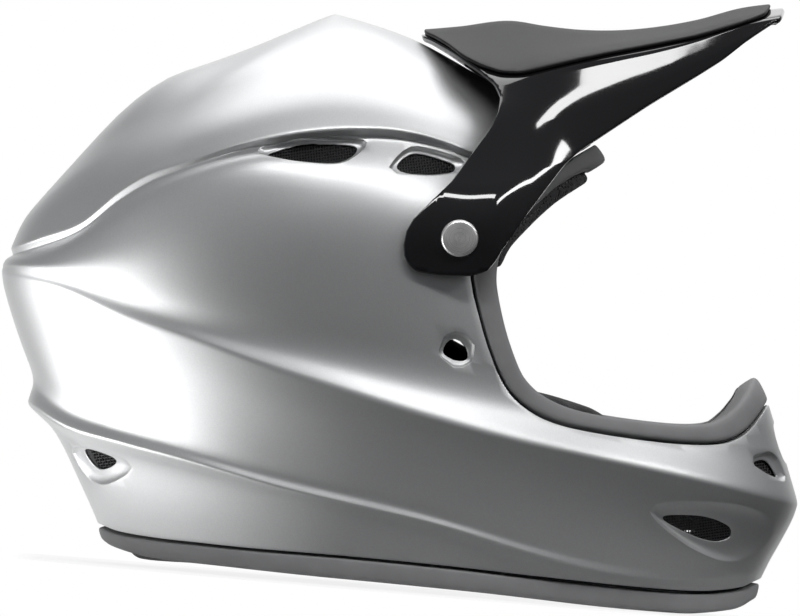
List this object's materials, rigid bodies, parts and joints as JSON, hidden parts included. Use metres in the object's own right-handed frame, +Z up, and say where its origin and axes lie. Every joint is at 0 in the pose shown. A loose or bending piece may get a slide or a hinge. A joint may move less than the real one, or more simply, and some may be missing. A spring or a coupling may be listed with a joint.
{
  "type": "downhill bike full face helmet",
  "caption": "Full face helmet for downhill riding: moulded shell with chin bar, tilting visor on thumb screws, foam and fabric lining, mesh vents and chin strap.",
  "frame": {"origin": "centre of the helmet's outer box, on the plane that it rests on", "axes": "+X to the front of the helmet (the chin), +Y to the wearer's left, +Z up, standing on its bottom trim"},
  "size_m": [0.3661, 0.248, 0.2768],
  "materials": {
    "shell_paint": "satin silver metallic paint",
    "trim_rubber": "matte",
    "visor_gloss": "gloss",
    "visor_matte": "matte",
    "screw_metal": "radially brushed",
    "steel": "nickel plated",
    "mesh_wire": "black coated woven wire",
    "foam": "moulded bead foam",
    "pad_fabric": "brushed knit over soft foam",
    "mesh_fabric": "air mesh over soft foam",
    "webbing": "woven",
    "clear_nylon": "moulded"
  },
  "bodies": {
    "helmet": {"outer_shell": "shell_paint", "face_trim": "trim_rubber", "bottom_trim": "trim_rubber", "crown_liner": "foam", "chin_liner": "foam", "comfort_liner": "pad_fabric", "cheek_pad_left": "pad_fabric", "cheek_pad_right": "pad_fabric", "neck_roll": "mesh_fabric", "brow_pad": "mesh_fabric", "chin_pad": "pad_fabric", "crown_meshes": "mesh_wire", "rear_meshes": "mesh_wire", "chin_meshes": "mesh_wire", "chin_corner_meshes": "mesh_wire", "front_mesh": "mesh_wire", "crown_guide": "clear_nylon", "visor_bushes": "steel", "visor_washers": "trim_rubber", "strap_anchors": "steel", "cheek_pad_studs": "clear_nylon"},
    "visor": {"visor_peak": "visor_gloss", "visor_top_panel": "visor_matte", "visor_guide_pin": "steel"},
    "screw_left": {"visor_screw_left": "screw_metal"},
    "screw_right": {"visor_screw_right": "screw_metal"},
    "chin_strap": {"strap_left": "webbing", "strap_right": "webbing", "d_rings": "steel", "strap_stud": "steel"}
  },
  "joints": [
    {"name": "visor_tilt", "type": "hinge", "parent": "helmet", "child": "visor", "pos_m": [0.02063, 0, 0.1586], "axis": [0, 1, 0], "range_deg": [0, 12]},
    {"name": "screw_left_turn", "type": "hinge", "parent": "helmet", "child": "screw_left", "pos_m": [0.02063, 0.12, 0.1586], "axis": [0, 1, 0], "continuous": true},
    {"name": "screw_right_turn", "type": "hinge", "parent": "helmet", "child": "screw_right", "pos_m": [0.02063, -0.12, 0.1586], "axis": [0, -1, 0], "continuous": true},
    {"name": "strap_swing", "type": "hinge", "parent": "helmet", "child": "chin_strap", "pos_m": [-0.005, 0, 0.032], "axis": [0, 1, 0], "range_deg": [-12, 12]}
  ]
}
